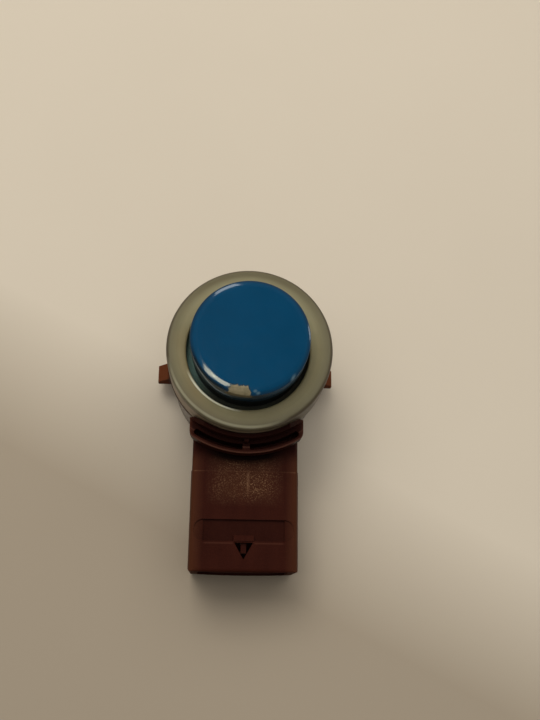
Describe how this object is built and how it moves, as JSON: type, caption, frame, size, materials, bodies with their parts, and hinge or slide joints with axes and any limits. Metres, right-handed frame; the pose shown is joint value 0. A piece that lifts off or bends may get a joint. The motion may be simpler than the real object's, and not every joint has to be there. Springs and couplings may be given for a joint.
{
  "type": "parking sensor",
  "caption": "Ultrasonic parking sensor with a painted sounding cup in a silicone ring, on a moulded housing with snap lugs and a side plug socket.",
  "frame": {"origin": "centre of the flat rear face, on the axis of the sounding cup", "axes": "+Z along the axis of the sounding cup, out of its painted face; -Y out of the plug socket"},
  "size_m": [0.0266, 0.041, 0.023],
  "materials": {
    "housing_plastic": "matt red-brown glass-filled plastic, glossier on the barrel",
    "cup_paint": "glossy blue paint, chipped at the edge",
    "ring_silicone": "satin grey-green silicone",
    "piezo_ceramic": "silvered ceramic",
    "copper": "enamelled copper wire",
    "pad_rubber": "matt",
    "fill_silicone": "satin",
    "foam": "matt open foam",
    "carrier_plastic": "matt black",
    "pin_metal": "bright",
    "board_laminate": "green solder mask",
    "chip_plastic": "matt black",
    "ferrite": "matt dark grey",
    "capacitor_ceramic": "satin",
    "terminal_metal": "tinned",
    "potting_resin": "satin black resin"
  },
  "bodies": {
    "root": {"housing": "housing_plastic", "transducer_cup": "cup_paint", "decoupling_ring": "ring_silicone", "piezo_disc": "piezo_ceramic", "signal_lead": "copper", "ground_lead": "copper", "damping_pad": "pad_rubber", "cup_fill": "fill_silicone", "foam_disc": "foam", "contact_carrier": "carrier_plastic", "signal_pin": "pin_metal", "ground_pin": "pin_metal", "circuit_board": "board_laminate", "driver_chip": "chip_plastic", "transformer_base": "chip_plastic", "transformer_core": "ferrite", "transformer_winding": "copper", "supply_capacitor": "capacitor_ceramic", "tuning_capacitor": "capacitor_ceramic", "filter_capacitor_1": "capacitor_ceramic", "filter_capacitor_2": "capacitor_ceramic", "resistor_1": "chip_plastic", "resistor_2": "chip_plastic", "diode": "chip_plastic", "terminal_1": "terminal_metal", "terminal_2": "terminal_metal", "terminal_3": "terminal_metal", "rear_potting": "potting_resin"}
  },
  "joints": []
}
